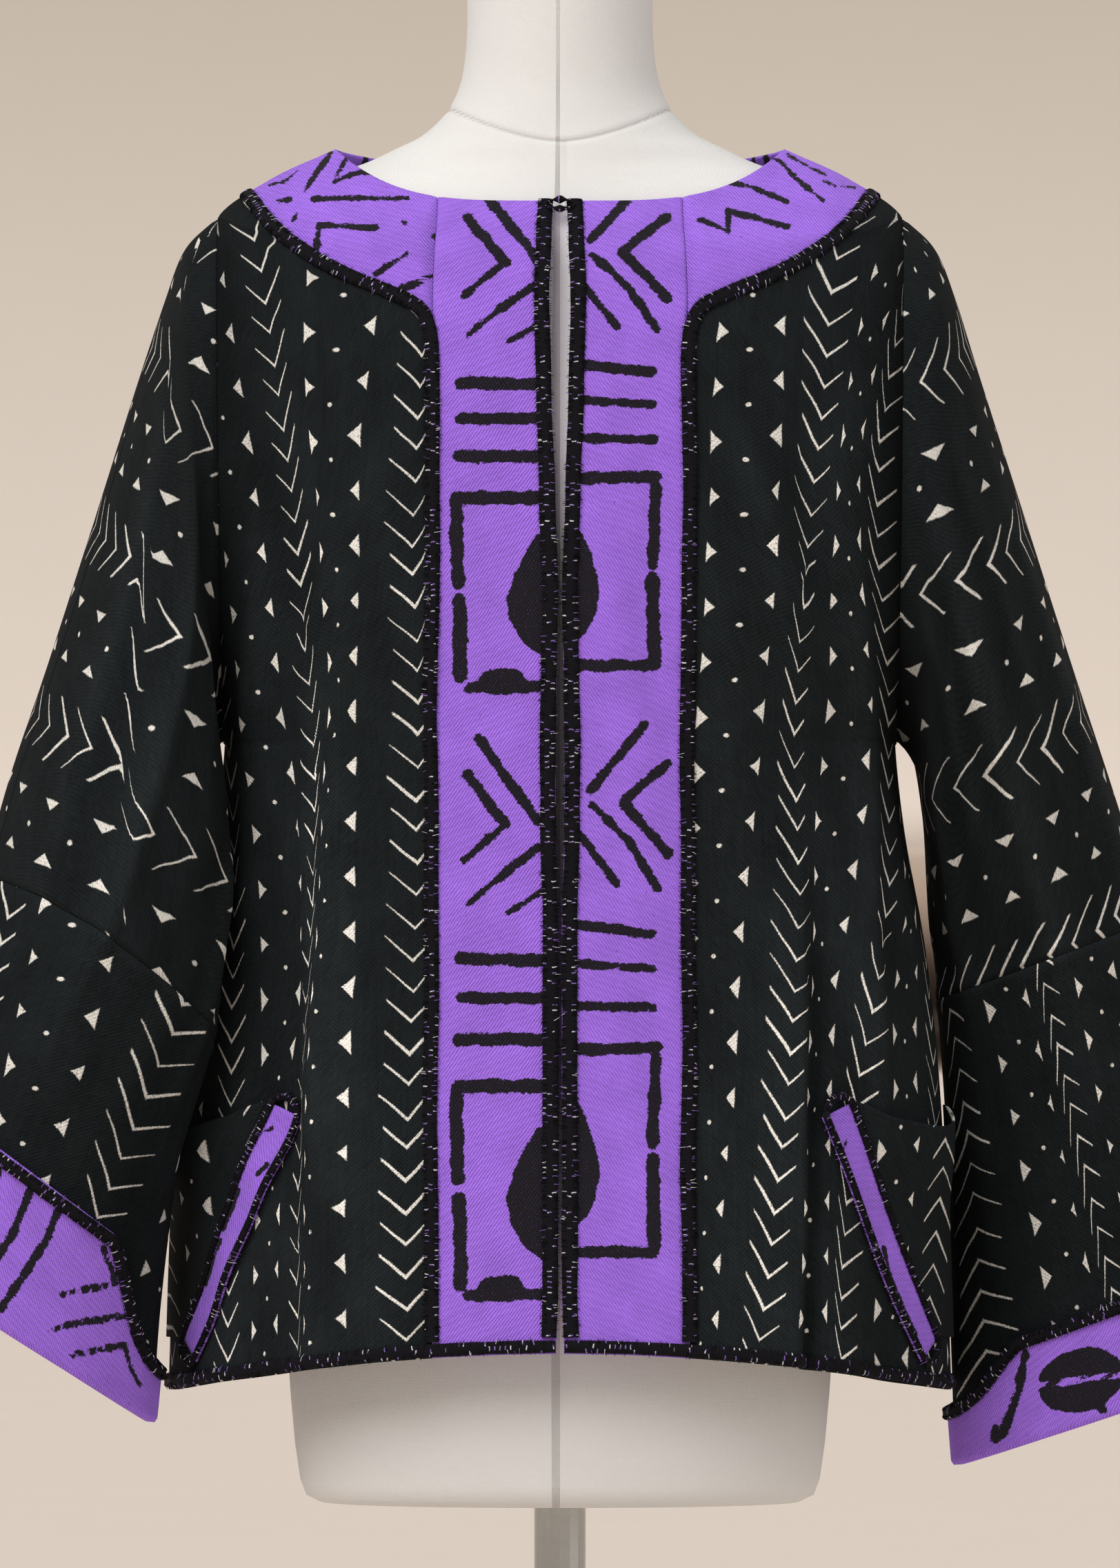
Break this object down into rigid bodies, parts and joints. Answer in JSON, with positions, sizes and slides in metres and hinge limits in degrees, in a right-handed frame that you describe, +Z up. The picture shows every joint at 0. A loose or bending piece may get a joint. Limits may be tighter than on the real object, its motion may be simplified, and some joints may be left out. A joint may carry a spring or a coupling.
{
  "type": "mud cloth jacket on a limbless dress form",
  "caption": "Open-front mud cloth jacket with a yoke collar, front bands, wide sleeves with turned-back cuffs and patch pockets, on a dress form with a round foot.",
  "frame": {"origin": "middle of the underside of the stand's round foot", "axes": "+Z up the pole, -Y out of the jacket's front, +X to the wearer's left"},
  "size_m": [0.8895, 0.42, 1.524],
  "materials": {
    "mud_cloth": "matte coarse cotton weave, black with cream marks",
    "purple_cloth": "matte coarse cotton weave, purple with near-black strokes",
    "binding": "matte black cotton strip with a raw edge",
    "linen": "matte off-white linen cover",
    "stand_metal": "brushed grey metal"
  },
  "bodies": {
    "root": {"front_left": "mud_cloth", "sleeve_upper_left": "mud_cloth", "sleeve_lower_left": "mud_cloth", "pocket_left": "mud_cloth", "band_left": "purple_cloth", "collar_left": "purple_cloth", "cuff_left": "purple_cloth", "pocket_strip_left": "purple_cloth", "binding_collar_left": "binding", "binding_front_left": "binding", "binding_cuff_left": "binding", "binding_strip_left": "binding", "hem_front_left": "binding", "front_right": "mud_cloth", "sleeve_upper_right": "mud_cloth", "sleeve_lower_right": "mud_cloth", "pocket_right": "mud_cloth", "band_right": "purple_cloth", "collar_right": "purple_cloth", "cuff_right": "purple_cloth", "pocket_strip_right": "purple_cloth", "binding_collar_right": "binding", "binding_front_right": "binding", "binding_cuff_right": "binding", "binding_strip_right": "binding", "hem_front_right": "binding", "back": "mud_cloth", "collar_back": "purple_cloth", "binding_collar_back": "binding", "hem_back": "binding", "thread_loop": "binding", "form_torso": "linen", "form_neck_cap": "linen", "form_pole": "stand_metal", "form_foot": "stand_metal"}
  },
  "joints": []
}
